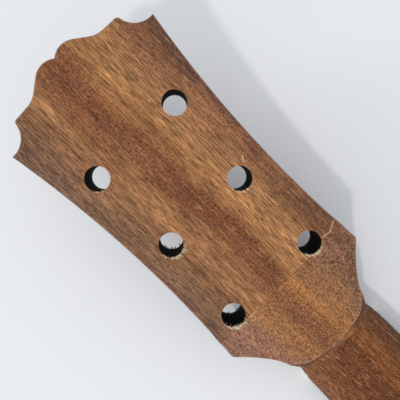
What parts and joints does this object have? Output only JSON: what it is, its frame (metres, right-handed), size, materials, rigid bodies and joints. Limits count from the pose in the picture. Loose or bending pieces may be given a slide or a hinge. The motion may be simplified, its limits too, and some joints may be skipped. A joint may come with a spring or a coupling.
{
  "type": "six-string guitar neck",
  "caption": "Raw mahogany guitar neck with an angled, scarf-jointed headstock bored for machine heads, a volute, a slotted rosewood fretboard and a two-way truss rod.",
  "frame": {"origin": "centre of the heel's four-screw pattern, on the heel's mating face", "axes": "+X along the neck to the headstock's tip, +Z out of the neck's back, face down as it lies in the picture"},
  "size_m": [0.6283, 0.076, 0.0628],
  "materials": {
    "mahogany_shaft": "sanded, no finish",
    "mahogany_board": "sanded, no finish",
    "rosewood": "sanded, oiled",
    "bone": "polished",
    "fret_wire": "polished",
    "pearloid": "polished",
    "side_dot_plastic": "sanded flush",
    "rod_steel": "rolled, oiled",
    "block_brass": "sawn"
  },
  "bodies": {
    "neck": {"neck_shaft": "mahogany_shaft", "headstock_board": "mahogany_board", "headstock_veneer": "rosewood", "fretboard": "rosewood", "nut": "bone", "fret_01": "fret_wire", "fret_02": "fret_wire", "fret_03": "fret_wire", "fret_04": "fret_wire", "fret_05": "fret_wire", "fret_06": "fret_wire", "fret_07": "fret_wire", "fret_08": "fret_wire", "fret_09": "fret_wire", "fret_10": "fret_wire", "fret_11": "fret_wire", "fret_12": "fret_wire", "fret_13": "fret_wire", "fret_14": "fret_wire", "fret_15": "fret_wire", "fret_16": "fret_wire", "fret_17": "fret_wire", "fret_18": "fret_wire", "fret_19": "fret_wire", "fret_20": "fret_wire", "fret_21": "fret_wire", "fret_22": "fret_wire", "inlay_dot_03": "pearloid", "inlay_dot_05": "pearloid", "inlay_dot_07": "pearloid", "inlay_dot_09": "pearloid", "inlay_dot_12_bass": "pearloid", "inlay_dot_12_treble": "pearloid", "inlay_dot_15": "pearloid", "inlay_dot_17": "pearloid", "inlay_dot_19": "pearloid", "inlay_dot_21": "pearloid", "side_dot_03": "side_dot_plastic", "side_dot_05": "side_dot_plastic", "side_dot_07": "side_dot_plastic", "side_dot_09": "side_dot_plastic", "side_dot_12_lower": "side_dot_plastic", "side_dot_12_upper": "side_dot_plastic", "side_dot_15": "side_dot_plastic", "side_dot_17": "side_dot_plastic", "side_dot_19": "side_dot_plastic", "side_dot_21": "side_dot_plastic", "front_block": "block_brass", "return_bar": "rod_steel"},
    "rod": {"truss_rod": "rod_steel", "adjuster_nut": "rod_steel"},
    "rod_block": {"rear_block": "block_brass"}
  },
  "joints": [
    {"name": "truss_rod_turn", "type": "hinge", "parent": "neck", "child": "rod", "pos_m": [0.429, 0, -0.0128], "axis": [1, 0, 0], "range_deg": [-360, 360]},
    {"name": "rod_block_travel", "type": "slide", "parent": "neck", "child": "rod_block", "axis": [1, 0, 0], "range_m": [-0.00085, 0.00085]}
  ],
  "couplings": [
    {"joint": "rod_block_travel", "follows": "truss_rod_turn", "m_per_rad": 0.00012732}
  ]
}
